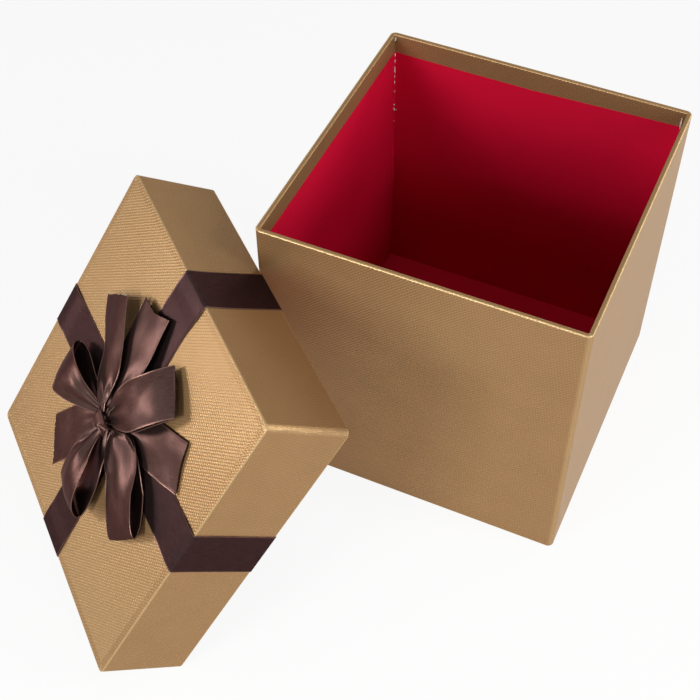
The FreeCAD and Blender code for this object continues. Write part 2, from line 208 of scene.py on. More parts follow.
def dot_product(tree, vector, direction):
    made = add_node(tree, "ShaderNodeVectorMath", {0: vector, 1: direction}, operation="DOT_PRODUCT")
    return made.outputs["Value"]


def scaled(tree, vector, factors):
    return add_node(tree, "ShaderNodeVectorMath", {0: vector, 1: factors}, operation="MULTIPLY").outputs[0]


def noise(tree, vector, scale, detail=3.0):
    inputs = {"Vector": vector, "Scale": scale, "Detail": detail}
    return add_node(tree, "ShaderNodeTexNoise", inputs).outputs[0]


def remap(tree, value, low, high):
    return add_node(tree, "ShaderNodeMapRange", {"Value": value, "To Min": low, "To Max": high}).outputs[0]


def colour_mix(tree, factor, first, second):
    # The colours are the seventh and eighth inputs of this node and its third output
    made = add_node(tree, "ShaderNodeMix", {"Factor": factor}, data_type="RGBA")
    for socket, value in zip(made.inputs[6:8], (first, second)):
        if isinstance(value, bpy.types.NodeSocket):
            tree.links.new(value, socket)
        else:
            socket.default_value = value
    return made.outputs[2]


def bump(tree, height, distance, strength):
    inputs = {"Height": height, "Distance": distance, "Strength": strength}
    return add_node(tree, "ShaderNodeBump", inputs).outputs[0]


def new_material(name):
    material = bpy.data.materials.new(name)
    material.use_nodes = True
    tree = material.node_tree
    return material, tree, tree.nodes["Principled BSDF"]


def connect(tree, shader, **sockets):
    for name, value in sockets.items():
        tree.links.new(value, shader.inputs[name.replace("_", " ").title()])


def set_sockets(shader, values):
    for name, value in values.items():
        shader.inputs[name].default_value = value


def sheet_place(tree):
    return add_node(tree, "ShaderNodeUVMap", uv_map=SHEET_MAP).outputs[0]


def object_place(tree):
    return add_node(tree, "ShaderNodeTexCoord").outputs["Object"]


# Materials, in which grains and clouds are noise scales per metre, and a relief is a depth and a strength
WHITE = (1, 1, 1, 1)

# Gold paper, embossed with fine ribs and staggered beads. A lighter colour on the crests is a painted
# highlight, and a paler colour on the fold lines is partly a painted highlight.
GOLD_DARK = (0.28, 0.15, 0.067, 1)
GOLD_LIGHT = (0.332, 0.182, 0.084, 1)
# Lighter crest colour: a painted highlight on the emboss
GOLD_CREST_HIGHLIGHT = (0.64, 0.49, 0.2, 1)
# Paler colour for burnished fold lines, which also serves as a painted highlight
GOLD_BURNISH_AND_HIGHLIGHT = (0.8, 0.6, 0.32, 1)
GOLD_GRAIN = 2600.0
GOLD_CLOUD = 45.0
GOLD_ROUGHNESS = (0.26, 0.4)
GOLD_METALLIC = (0.42, 0.88)
GOLD_RELIEF = (0.09 * MM, 0.46)
GOLD_SOCKETS = {"Specular Tint": (0.8, 0.6, 0.36, 1), "Specular IOR Level": 0.2}
RIB_ANGLE = math.radians(43.0)
RIB_PITCH = 1.38 * MM
RIB_SHARE = 0.6
BEAD_PITCH = 1.75 * MM
BEAD_SHARE = 0.75
RELIEF_GRAIN = 0.5
CREST_HIGHLIGHT_GRAIN = 0.8
CREST_HIGHLIGHT_RANGE = (-0.1, 1.1)
CREST_HIGHLIGHT_SHARE = 0.15
BURNISH_AND_HIGHLIGHT_RANGE = (0.5, 1.0)


def make_gold_paper():
    material, tree, shader = new_material("gold_paper")
    place = sheet_place(tree)
    across = dot_product(tree, place, (-math.sin(RIB_ANGLE), math.cos(RIB_ANGLE), 0))
    along = dot_product(tree, place, (math.cos(RIB_ANGLE), math.sin(RIB_ANGLE), 0))
    ribs = wave(tree, across, RIB_PITCH)
    stagger = wave(tree, across, 2 * RIB_PITCH)
    beads = calculate(tree, "MULTIPLY", stagger, wave(tree, along, BEAD_PITCH))
    height = add_share(tree, calculate(tree, "MULTIPLY", ribs, RIB_SHARE), beads, BEAD_SHARE)
    grain = noise(tree, place, GOLD_GRAIN)
    cloud = noise(tree, place, GOLD_CLOUD)
    # The lighter colour on the emboss crests is a painted highlight
    crest_highlight_mask = remap(tree, add_share(tree, height, grain, CREST_HIGHLIGHT_GRAIN), *CREST_HIGHLIGHT_RANGE)
    plain = colour_mix(tree, cloud, GOLD_DARK, GOLD_LIGHT)
    with_crest_highlight = colour_mix(tree, calculate(tree, "MULTIPLY", crest_highlight_mask, CREST_HIGHLIGHT_SHARE), plain, GOLD_CREST_HIGHLIGHT)
    # Burnished fold lines: the paler, more metallic colour is partly real rubbing and partly a painted
    # highlight line
    fold = add_node(tree, "ShaderNodeAttribute", attribute_name=FOLD_WEAR_AND_HIGHLIGHT_MASK).outputs["Fac"]
    burnish_and_highlight = calculate(tree, "MULTIPLY", fold, remap(tree, grain, *BURNISH_AND_HIGHLIGHT_RANGE))
    connect(tree, shader, base_color=colour_mix(tree, burnish_and_highlight, with_crest_highlight, GOLD_BURNISH_AND_HIGHLIGHT))
    connect(tree, shader, roughness=remap(tree, grain, *GOLD_ROUGHNESS))
    connect(tree, shader, normal=bump(tree, add_share(tree, height, grain, RELIEF_GRAIN), *GOLD_RELIEF))
    connect(tree, shader, metallic=remap(tree, burnish_and_highlight, *GOLD_METALLIC))
    set_sockets(shader, GOLD_SOCKETS)
    return material


# Red lining paper
RED_DARK = (0.52, 0.0016, 0.025, 1)
RED_LIGHT = (0.61, 0.003, 0.036, 1)
RED_GRAIN = 1500.0
RED_CLOUD = 30.0
RED_ROUGHNESS = (0.48, 0.68)
RED_RELIEF = (0.05 * MM, 0.5)
RED_SOCKETS = {"Specular IOR Level": 0.15}


def make_red_paper():
    material, tree, shader = new_material("red_paper")
    place = object_place(tree)
    grain = noise(tree, place, RED_GRAIN)
    cloud = noise(tree, place, RED_CLOUD)
    connect(tree, shader, base_color=colour_mix(tree, cloud, RED_DARK, RED_LIGHT))
    connect(tree, shader, roughness=remap(tree, grain, *RED_ROUGHNESS))
    connect(tree, shader, normal=bump(tree, grain, *RED_RELIEF))
    set_sockets(shader, RED_SOCKETS)
    return material


# Brown satin with paler selvages that also carry a painted highlight along the edges. The bands use a darker
# copy of it, which is painted shade.
SATIN_TONES = {
    "brown_satin": {
        "body_dark": (0.018, 0.0092, 0.0101, 1),
        "body_light": (0.03, 0.0149, 0.0157, 1),
        "thread": (0.17, 0.0986, 0.0825, 1),
        # The paler selvage colour is partly the woven edge and partly a painted highlight along it
        "edge": (0.2, 0.115, 0.091, 1),
    },
    # A darker copy of the satin for the bands on the lid: painted shade, not a different ribbon
    "band_satin_painted_shade": {
        "body_dark": (0.012, 0.0064, 0.0078, 1),
        "body_light": (0.02, 0.0104, 0.0118, 1),
        "thread": (0.1, 0.06, 0.058, 1),
        "edge": (0.13, 0.076, 0.063, 1),
    },
}
WARP_SCALE = (4200.0, 160.0, 1.0)
WEFT_SCALE = (300.0, 2600.0, 1.0)
WEFT_SHARE = 0.5
WEAVE_DETAIL = 2.0
THREAD_RANGE = (-0.2, 0.5)
SATIN_CLOUD = 60.0
SATIN_ROUGHNESS = (0.25, 0.37)
SATIN_RELIEF = (0.05 * MM, 0.12)
SATIN_SOCKETS = {
    "Metallic": 0.8,
    "Specular Tint": (0.36, 0.2, 0.17, 1),
    "Specular IOR Level": 0.12,
    "Sheen Weight": 0.05,
    "Sheen Roughness": 0.35,
    "Sheen Tint": (0.95, 0.62, 0.56, 1),
}


def make_satin(name, body_dark, body_light, thread, edge):
    material, tree, shader = new_material(name)
    place = sheet_place(tree)
    warp = noise(tree, scaled(tree, place, WARP_SCALE), 1.0, WEAVE_DETAIL)
    weft = noise(tree, scaled(tree, place, WEFT_SCALE), 1.0, WEAVE_DETAIL)
    cloud = noise(tree, place, SATIN_CLOUD)
    weave = add_share(tree, warp, weft, WEFT_SHARE)
    body = colour_mix(tree, cloud, body_dark, body_light)
    woven = colour_mix(tree, remap(tree, weave, *THREAD_RANGE), body, thread)
    across = calculate(tree, "ABSOLUTE", dot_product(tree, place, (1, 0, 0)))
    # Paler selvages: part woven edge, part painted highlight along the ribbon's edges
    selvage = calculate(tree, "GREATER_THAN", across, RIBBON_WIDTH / 2 - SELVAGE_WIDTH)
    colour = colour_mix(tree, calculate(tree, "MULTIPLY", selvage, weave), woven, edge)
    connect(tree, shader, base_color=colour)
    connect(tree, shader, roughness=remap(tree, warp, *SATIN_ROUGHNESS))
    connect(tree, shader, normal=bump(tree, weave, *SATIN_RELIEF))
    set_sockets(shader, SATIN_SOCKETS)
    return material


# Board, plain paper, tape and thread, which all show short fibres
FIBRE_LOOKS = {
    "grey_board": {
        "dark": (0.2, 0.18, 0.15, 1), "light": (0.36, 0.33, 0.29, 1), "grain": 900.0, "roughness": 0.85,
    },
    "underside_paper": {
        "dark": (0.62, 0.57, 0.5, 1), "light": (0.74, 0.7, 0.63, 1), "grain": 700.0, "roughness": 0.75,
    },
    "stay_tape": {
        "dark": (0.36, 0.25, 0.15, 1), "light": (0.46, 0.33, 0.2, 1), "grain": 800.0, "roughness": 0.7,
    },
    "pale_thread": {
        "dark": (0.55, 0.45, 0.33, 1), "light": (0.75, 0.65, 0.5, 1), "grain": 3000.0, "roughness": 0.6,
    },
}
FIBRE_STRETCH = (1.0, 1.0, 3.0)
FIBRE_DETAIL = 6.0
FIBRE_ROUGHNESS_SPREAD = 0.1
FIBRE_RELIEF = (0.08 * MM, 0.4)


def make_fibrous(name, dark, light, grain, roughness):
    material, tree, shader = new_material(name)
    place = object_place(tree)
    fibres = noise(tree, scaled(tree, place, FIBRE_STRETCH), grain, FIBRE_DETAIL)
    smoothest = roughness - FIBRE_ROUGHNESS_SPREAD
    roughest = roughness + FIBRE_ROUGHNESS_SPREAD
    connect(tree, shader, base_color=colour_mix(tree, fibres, dark, light))
    connect(tree, shader, roughness=remap(tree, fibres, smoothest, roughest))
    connect(tree, shader, normal=bump(tree, fibres, *FIBRE_RELIEF))
    return material


# Set glue
GLUE_DARK = (0.62, 0.58, 0.5, 1)
GLUE_LIGHT = (0.8, 0.77, 0.7, 1)
GLUE_CLOUD = 700.0
GLUE_ROUGHNESS = (0.15, 0.3)
GLUE_RELIEF = (0.1 * MM, 0.4)


def make_glue():
    material, tree, shader = new_material("glue")
    cloud = noise(tree, object_place(tree), GLUE_CLOUD)
    connect(tree, shader, base_color=colour_mix(tree, cloud, GLUE_DARK, GLUE_LIGHT))
    connect(tree, shader, roughness=remap(tree, cloud, *GLUE_ROUGHNESS))
    connect(tree, shader, normal=bump(tree, cloud, *GLUE_RELIEF))
    return material


MATERIALS = {"gold_paper": make_gold_paper(), "red_paper": make_red_paper(), "glue": make_glue()}
MATERIALS |= {name: make_satin(name, **tones) for name, tones in SATIN_TONES.items()}
MATERIALS |= {name: make_fibrous(name, **look) for name, look in FIBRE_LOOKS.items()}


# Meshes
def make_piece(name, skin, slot, body, place=None, sharp_angle=SHARP_ANGLE, fold_wear_and_highlight=None):
    # A skin is its points, its faces and a place on the flat sheet for each corner of the faces
    points, faces, maps = skin
    mesh = bpy.data.meshes.new(name)
    mesh.from_pydata([tuple(point) for point in points], [], faces)
    if fold_wear_and_highlight is not None:
        mask = mesh.attributes.new(FOLD_WEAR_AND_HIGHLIGHT_MASK, "FLOAT", "POINT")
        for entry, value in zip(mask.data, fold_wear_and_highlight):
            entry.value = value
    layer = mesh.uv_layers.new(name=SHEET_MAP)
    for corner, place_on_sheet in zip(layer.data, maps):
        corner.uv = place_on_sheet
    shaped = bmesh.new()
    shaped.from_mesh(mesh)
    bmesh.ops.recalc_face_normals(shaped, faces=shaped.faces)
    shaped.to_mesh(mesh)
    shaped.free()
    if place is not None:
        mesh.transform(place)
    mesh.shade_smooth()
    mesh.set_sharp_from_angle(angle=sharp_angle)
    mesh.materials.append(MATERIALS[slot])
    piece = bpy.data.objects.new(name, mesh)
    bpy.context.scene.collection.objects.link(piece)
    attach(piece, body)
    return piece


def grid_faces(row_count, column_count, place_on_sheet, wrap_rows=False, wrap_columns=False):
    # Faces between rows of points. place_on_sheet takes a row and a column that are not wrapped round.
    faces = []
    maps = []
    for row in range(row_count if wrap_rows else row_count - 1):
        for column in range(column_count if wrap_columns else column_count - 1):
            corners = [(row, column), (row, column + 1), (row + 1, column + 1), (row + 1, column)]
            faces.append([(i % row_count) * column_count + j % column_count for i, j in corners])
            maps.extend(place_on_sheet(i, j) for i, j in corners)
    return faces, maps


def looped_rings(rows, place_on_sheet):
    # A closed skin on rings of points, of which the last joins the first
    faces, maps = grid_faces(len(rows), len(rows[0]), place_on_sheet, wrap_rows=True, wrap_columns=True)
    return [point for row in rows for point in row], faces, maps


def capped_rings(rows, place_on_sheet):
    # A closed skin on rings of points, with one face across the first ring and one across the last
    columns = len(rows[0])
    faces, maps = grid_faces(len(rows), columns, place_on_sheet, wrap_columns=True)
    for row in (0, len(rows) - 1):
        faces.append([row * columns + column for column in range(columns)])
        maps.extend(place_on_sheet(row, column) for column in range(columns))
    return [point for row in rows for point in row], faces, maps


def joined(skins):
    points = []
    faces = []
    maps = []
    for more_points, more_faces, more_maps in skins:
        first = len(points)
        points.extend(more_points)
        faces.extend([corner + first for corner in face] for face in more_faces)
        maps.extend(more_maps)
    return points, faces, maps


def circle_angles(count):
    return [2 * math.pi * step / count for step in range(count)]


def rounded_path(corners, radius, spacing=None):
    # A line through the corners with each inner corner rounded, and close points beside each round. With a
    # spacing, the straights are divided too.
    path = [Vector(corners[0])]
    for before, corner, after in zip(corners, corners[1:], corners[2:]):
        corner = Vector(corner)
        back = (Vector(before) - corner).normalized()
        ahead = (Vector(after) - corner).normalized()
        start = corner + back * radius
        centre = start + ahead * radius
        path.append(start + back * EDGE_SUPPORT)
        for step in range(ARC_STEPS + 1):
            angle = math.pi / 2 * step / ARC_STEPS
            path.append(centre - ahead * radius * math.cos(angle) - back * radius * math.sin(angle))
        path.append(corner + ahead * (radius + EDGE_SUPPORT))
    path.append(Vector(corners[-1]))
    if spacing is None:
        return path
    filled = [path[0]]
    for point in path[1:]:
        count = max(1, round((point - filled[-1]).length / spacing))
        start = filled[-1]
        filled.extend(start.lerp(point, (step + 1) / count) for step in range(count))
    return filled


def path_lengths(path):
    lengths = [0.0]
    for before, after in zip(path, path[1:]):
        lengths.append(lengths[-1] + (after - before).length)
    return lengths


def fold_wear_and_highlight_strengths(path, wear_and_highlight):
    # How worn each rounded fold of a path is, with the painted highlight that goes with it, and nought on its
    # straights
    strengths = [0.0]
    for number, (before, point, after) in enumerate(zip(path, path[1:], path[2:])):
        turned = (point - before).angle(after - point, 0.0)
        strengths.append(min(turned / FOLD_FULL_TURN, 1.0) * wear_and_highlight[number // FOLD_POINTS])
    strengths.append(0.0)
    return strengths


def rounded_square(half, radius):
    # Points round a square from its back left corner by way of the left, front, right and back sides,
    # each with its outward direction
    ring = []
    for side in range(4):
        turn = Matrix.Rotation(math.pi + side * math.pi / 2, 2)
        straight = half - radius
        outward = turn @ Vector((1, 0))
        support = straight - EDGE_SUPPORT
        for share in (-straight, -support, -support / 2, 0.0, support / 2, support, straight):
            ring.append((turn @ Vector((half, share)), outward))
        for step in range(1, CORNER_STEPS):
            angle = math.pi / 2 * step / CORNER_STEPS
            direction = turn @ Vector((math.cos(angle), math.sin(angle)))
            ring.append((turn @ Vector((straight, straight)) + direction * radius, direction))
    return ring


def ring_lengths(ring):
    places = [point for point, _ in ring] + [ring[0][0]]
    return path_lengths(places)


def swept_rows(path, half):
    # One ring of points for each (inward distance, height) of the path
    rows = []
    for inward, height in path:
        radius = max(CORNER_RADIUS - inward, SMALLEST_RADIUS)
        rows.append([Vector((*point, height)) for point, _ in rounded_square(half - inward, radius)])
    return rows


def wrap_wear_and_highlight(shown, wear_and_highlight):
    # How burnished each point of a wrap is, and how much painted highlight it carries, which is most on its
    # fold lines and less on its upright corners
    ring = [direction for _, direction in rounded_square(1.0, CORNER_RADIUS)]
    corners = [CORNER_WEAR_AND_HIGHLIGHT * (1 - abs(abs(direction.x) - abs(direction.y))) for direction in ring]
    strengths = fold_wear_and_highlight_strengths(shown, wear_and_highlight)
    return [max(fold, corner) for fold in strengths + strengths[::-1] for corner in corners]


def build_base_wrap():
    foot = BOX_FOOT
    outer = [
        (BOTTOM_TURN_IN, foot),
        (0, foot),
        (0, BOX_TOP),
        (BASE_WALL, BOX_TOP),
        (BASE_WALL, BOX_TOP - BASE_TURN_IN),
    ]
    inner = [
        (BOTTOM_TURN_IN, foot + PAPER),
        (PAPER, foot + PAPER),
        (PAPER, BOX_TOP - PAPER),
        (BASE_WALL - PAPER, BOX_TOP - PAPER),
        (BASE_WALL - PAPER, BOX_TOP - BASE_TURN_IN),
    ]
    shown = rounded_path(outer, EDGE_RADIUS)
    hidden = rounded_path(inner, EDGE_RADIUS - PAPER)
    rows = swept_rows(shown + hidden[::-1], BOX_HALF)
    heights = path_lengths(shown) + path_lengths(hidden)[::-1]
    around = ring_lengths(rounded_square(BOX_HALF, CORNER_RADIUS))

    def place_on_sheet(row, column):
        return around[column], heights[row % len(heights)]

    fold_wear_and_highlight = wrap_wear_and_highlight(shown, BASE_FOLD_WEAR_AND_HIGHLIGHT)
    wrap = make_piece("box_paper", looped_rings(rows, place_on_sheet), "gold_paper", "box", fold_wear_and_highlight=fold_wear_and_highlight)
    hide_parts("base_wrap")


def build_lid_wrap():
    outer = [
        (LID_TOP_BORDER, LID_DEPTH),
        (0, LID_DEPTH),
        (0, 0),
        (LID_WALL, 0),
        (LID_WALL, LID_TURN_IN),
    ]
    inner = [
        (LID_TOP_BORDER, LID_DEPTH - PAPER),
        (PAPER, LID_DEPTH - PAPER),
        (PAPER, PAPER),
        (LID_WALL - PAPER, PAPER),
        (LID_WALL - PAPER, LID_TURN_IN),
    ]
    shown = rounded_path(outer, EDGE_RADIUS)
    hidden = rounded_path(inner, EDGE_RADIUS - PAPER)
    rows = swept_rows(shown + hidden[::-1], LID_HALF)
    drops = [length - LID_TOP_BORDER for length in path_lengths(shown)]
    drops += drops[::-1]
    edge = rounded_square(LID_HALF, CORNER_RADIUS)

    def place_on_sheet(row, column):
        point, outward = edge[column % len(edge)]
        return tuple(point + outward * drops[row])

    skin = capped_rings(rows, place_on_sheet)
    fold_wear_and_highlight = wrap_wear_and_highlight(shown, LID_FOLD_WEAR_AND_HIGHLIGHT)
    wrap = make_piece("lid_paper", skin, "gold_paper", "lid", LID_PLACE, fold_wear_and_highlight=fold_wear_and_highlight)
    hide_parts("lid_wrap")


# Red wall liner: the depth of its upper edge below the rim, in millimetres, at shares of the way round from
# the back left corner
LINER_DROPS = [
    (0.0, 11.3), (0.12, 10.7), (0.25, 10.4), (0.5, 10.7),
    (0.72, 10.0), (0.76, 9.3), (0.87, 11.8), (1.0, 11.3),
]
LINER_CORNER = 1.2 * MM
LINER_STEPS = 6


def build_wall_liner():
    outer_half = wall_liner_high.x
    foot = wall_liner_low.z
    rings = {}
    for side, half in (("outer", outer_half), ("inner", outer_half - PAPER)):
        rings[side] = rounded_square(half, LINER_CORNER)
    around = ring_lengths(rings["outer"])
    layers = [("outer", step / LINER_STEPS) for step in range(LINER_STEPS + 1)]
    layers += [("inner", 1 - step / LINER_STEPS) for step in range(LINER_STEPS + 1)]
    rows = []
    for side, share in layers:
        row = []
        for (point, _), length in zip(rings[side], around):
            top = BOX_TOP - through_points(LINER_DROPS, length / around[-1]) * MM
            row.append(Vector((*point, foot + (top - foot) * share)))
        rows.append(row)

    def place_on_sheet(row, column):
        return around[column], layers[row % len(layers)][1] * (BOX_TOP - foot)

    liner = make_piece("box_wall_lining", looped_rings(rows, place_on_sheet), "red_paper", "box")
    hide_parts("base_wall_liner")


# Ribbon strips
def strip_columns():
    # Places across a ribbon from -1 to 1 with the thickness there
    inner = 1 - SELVAGE_WIDTH / (RIBBON_WIDTH / 2)
    peak = -1 + SELVAGE_PEAK * (1 - inner)
    selvage = [(-1.0, OUTER_EDGE_THICKNESS), (peak, SELVAGE_THICKNESS), (-inner, RIBBON_THICKNESS)]
    middle = [(inner * (2 * step / STRIP_STEPS - 1), RIBBON_THICKNESS) for step in range(1, STRIP_STEPS)]
    mirrored = [(-place, thickness) for place, thickness in reversed(selvage)]
    return selvage + middle + mirrored


COLUMNS = strip_columns()


def thick_strip(rows, lengths, layers=1.0):
    # A closed strip of ribbon, of one layer or more, from rows of points in its middle surface
    row_count = len(rows)
    column_count = len(COLUMNS)
    tops = []
    bottoms = []
    for i, row in enumerate(rows):
        before = rows[max(i - 1, 0)]
        after = rows[min(i + 1, row_count - 1)]
        top = []
        bottom = []
        for j, point in enumerate(row):
            along = after[j] - before[j]
            across = row[min(j + 1, column_count - 1)] - row[max(j - 1, 0)]
            normal = along.cross(across).normalized()
            half = COLUMNS[j][1] * layers / 2
            top.append(point + normal * half)
            bottom.append(point - normal * half)
        tops.append(top)
        bottoms.append(bottom)
    ring_count = 2 * column_count
    points = []
    for top, bottom in zip(tops, bottoms):
        points.extend(top)
        points.extend(bottom[::-1])

    def place_on_sheet(row, column):
        column = column % ring_count
        across = COLUMNS[min(column, ring_count - 1 - column)][0]
        return across * RIBBON_WIDTH / 2, lengths[row]

    faces, maps = grid_faces(row_count, ring_count, place_on_sheet, wrap_columns=True)
    for row in (0, row_count - 1):
        for column in range(column_count - 1):
            corners = [column, column + 1, ring_count - 2 - column, ring_count - 1 - column]
            faces.append([row * ring_count + corner for corner in corners])
            maps.extend(place_on_sheet(row, corner) for corner in corners)
    return points, faces, maps


def row_lengths(rows):
    # How far along the ribbon each row is, by its middle line
    middle = len(COLUMNS) // 2
    return path_lengths([row[middle] for row in rows])


# Bands on the lid: the sideways place of the middle line, in millimetres, against the way along the band
# from the middle of the lid's top. The top's edges are about 85 mm out, and the rims about 131 mm out.
# One band lies over the other, and near the top's edges both stand off the paper a little.
BANDS = {
    "ribbon_band_long": {
        "turn": math.radians(90), "over": 0.0,
        "sideways": [(-131.0, -2.4), (-85.0, -1.5), (0.0, 0.8), (62.0, 2.5), (86.0, 0.7), (131.0, 6.0)],
    },
    "ribbon_band_cross": {
        "turn": 0.0, "over": 1.0,
        "sideways": [(-131.0, -1.2), (-85.0, -0.4), (0.0, 1.8), (85.0, 4.0), (131.0, 3.4)],
    },
}
STANDOFF = 0.55 * MM
STANDOFF_PLACE = 79.0 * MM
STANDOFF_SPREAD = 5.0 * MM


def build_band(node, spec):
    skin = LID_HALF + RIBBON_LIFT
    lining = LID_HALF - LID_WALL - RIBBON_LIFT
    top = LID_DEPTH + RIBBON_LIFT
    corners = [
        (-lining, RIBBON_TURN_IN),
        (-lining, -RIBBON_LIFT),
        (-skin, -RIBBON_LIFT),
        (-skin, top),
        (skin, top),
        (skin, -RIBBON_LIFT),
        (lining, -RIBBON_LIFT),
        (lining, RIBBON_TURN_IN),
    ]
    bend = EDGE_RADIUS + RIBBON_LIFT
    path = rounded_path(corners, bend, BAND_SPACING)
    lengths = path_lengths(path)
    turn = Matrix.Rotation(spec["turn"], 3, "Z")
    rows = []
    for (u, z), length in zip(path, lengths):
        sideways = through_points(spec["sideways"], (length - lengths[-1] / 2) / MM) * MM
        lift = 0.0
        if z > top - bend / 2:
            cover = smooth_step((CROSSING_HALF + CROSSING_RAMP - abs(u)) / CROSSING_RAMP)
            lift = spec["over"] * cover * (RIBBON_THICKNESS + CROSSING_GAP)
            lift += STANDOFF * math.exp(-((abs(u) - STANDOFF_PLACE) / STANDOFF_SPREAD) ** 2)
        row = []
        for place, _ in COLUMNS:
            row.append(turn @ Vector((u, sideways + place * RIBBON_WIDTH / 2, z + lift)))
        rows.append(row)
    name = node.replace("ribbon_band", "satin_band")
    band = make_piece(name, thick_strip(rows, lengths), "brown_satin", "lid", LID_PLACE)
    # The bands take the darker satin copy, which paints shade on them
    band.data.materials[0] = MATERIALS["band_satin_painted_shade"]
    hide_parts(node)


# Bow loops and tails, in millimetres and degrees. Rises are heights above the lid's top. The trough is how
# far the edges stand above the middle near the root, up to the trough's end. The crown is how far the middle
# stands above the edges further out. A droop bends down the edge on its side, which is the sign, near the
# root. The flare and the ends are shares of the reach.
PLAIN_STRIP = {
    "arch": 0.0, "roll": 0.0, "drift": 0.0, "offset": (0.0, 0.0), "root_width": 5.0, "flare": 0.6,
    "trough": 0.0, "trough_end": 0.4, "crown": 0.6, "pleat": 0.6,
    "droop": 0.0, "droop_start": 0.1, "droop_end": 0.8,
}
LOOPS = {
    "bow_loop_upper_right": {
        "heading": 59.0, "reach": 50.0, "root_rise": 7.2, "end_rise": 4.2, "arch": 2.0, "gape": 4.0,
        "roll": -4.0, "root_width": 9.0, "flare": 0.42, "crown": 0.9, "pleat": 0.8,
    },
    "bow_loop_lower_right": {
        "heading": -38.0, "reach": 51.0, "root_rise": 4.6, "end_rise": 4.9, "arch": -0.8, "gape": 6.4,
        "roll": 4.5, "drift": 7.4, "offset": (2.8, 3.4), "root_width": 7.0, "flare": 0.24, "crown": 0.4,
        "pleat": 0.2, "droop": 2.0, "droop_start": -0.2, "droop_end": 0.6,
    },
    "bow_loop_bottom": {
        "heading": -80.0, "reach": 47.0, "root_rise": 6.5, "end_rise": 5.5, "arch": 3.0, "gape": 11.0,
        "roll": 11.0, "flare": 0.7, "trough": 1.5, "trough_end": 0.35, "crown": 1.2, "pleat": 0.5,
        "droop": -2.0,
    },
    "bow_loop_left": {
        "heading": -168.0, "reach": 43.5, "root_rise": 6.5, "end_rise": 6.6, "arch": 3.6, "gape": 9.6,
        "roll": 7.0, "flare": 0.95, "crown": 0.8, "pleat": 0.35, "droop": 2.0,
    },
}
TAILS = {
    "bow_tail_upper_left": {
        "heading": 134.5, "reach": 53.0, "root_rise": 9.5, "end_rise": 6.2, "roll": -8.0, "flare": 0.36,
        "trough": 1.0, "trough_end": 0.5, "crown": 0.7, "pleat": 1.0, "droop": 2.5,
        "notch": 0.0, "slant": 0.8, "fray": 0.3,
    },
    "bow_tail_top": {
        "heading": 103.5, "reach": 56.0, "root_rise": 7.8, "end_rise": 3.0, "flare": 0.62, "pleat": 0.8,
        "notch": 2.6, "slant": -0.6, "fray": 0.1,
    },
    "bow_tail_right": {
        "heading": 25.5, "reach": 55.5, "root_rise": 1.6, "end_rise": 1.2, "crown": 0.0, "pleat": 0.4,
        "notch": 1.2, "slant": -0.5, "fray": 0.1,
    },
    "bow_tail_lower_left": {
        "heading": -122.0, "reach": 53.5, "root_rise": 5.0, "end_rise": 4.2, "arch": 1.0,
        "offset": (0.4, 2.4), "crown": 0.5, "pleat": 0.5,
        "notch": 0.8, "slant": 3.2, "fray": 0.5,
    },
}
LOOPS = {node: PLAIN_STRIP | spec for node, spec in LOOPS.items()}
TAILS = {node: PLAIN_STRIP | spec for node, spec in TAILS.items()}
PLEAT_COUNT = 2
PLEAT_PHASE = 0.7
WOBBLE = 0.35
WOBBLES_ALONG = 4.0
WOBBLES_ACROSS = 1.3
WOBBLE_FADE_IN = 0.2


def middle_rise(spec, share):
    level = spec["root_rise"] + (spec["end_rise"] - spec["root_rise"]) * share
    return level + spec["arch"] * 4 * share * (1 - share)


def loop_line(spec, angle):
    # Share of the reach and rise at an angle from 0, at the root on top, to half a turn, at the root below
    share = math.sin(angle) ** 2
    opening = spec["gape"] / 2 * share * math.cos(angle) / TEARDROP_PEAK
    return share, (middle_rise(spec, share) + opening) * MM + LAYER_GAP / 2 * math.cos(angle)


def tail_line(spec, share):
    return share, middle_rise(spec, share) * MM


def bow_directions(spec):
    # Away from the knot, and to the left of that
    heading = math.radians(spec["heading"])
    outward = Vector((math.cos(heading), math.sin(heading), 0))
    return outward, UP.cross(outward)


def bow_point(spec, share, rise):
    outward, sideways = bow_directions(spec)
    start = math.hypot(outward.x * KNOT_LENGTH, outward.y * KNOT_WIDTH) / 2 + ROOT_GAP
    drift = spec["drift"] * MM * smooth_step(share / DRIFT_END_SHARE)
    centre = Vector((spec["offset"][0] * MM, spec["offset"][1] * MM + KNOT_SHIFT, LID_DEPTH))
    return centre + outward * (start + spec["reach"] * MM * share) + sideways * drift + UP * rise


def ribbon_frame(spec, line, place, last):
    # The ribbon's middle point, its direction across, its outer side, its width and the share of its reach
    step = last / TANGENT_STEPS
    share, rise = line(spec, place)
    before = bow_point(spec, *line(spec, max(place - step, 0.0)))
    after = bow_point(spec, *line(spec, min(place + step, last)))
    tangent = (after - before).normalized()
    _, sideways = bow_directions(spec)
    level = (sideways - tangent * sideways.dot(tangent)).normalized()
    roll = math.radians(spec["roll"]) * smooth_step(share)
    across = (level * math.cos(roll) + UP * math.sin(roll)).normalized()
    through = tangent.cross(across)
    root_width = spec["root_width"] * MM
    opened = math.sin(math.pi / 2 * min(share / spec["flare"], 1.0))
    width = root_width + (RIBBON_WIDTH - root_width) * opened
    return bow_point(spec, share, rise), across, through, width, share


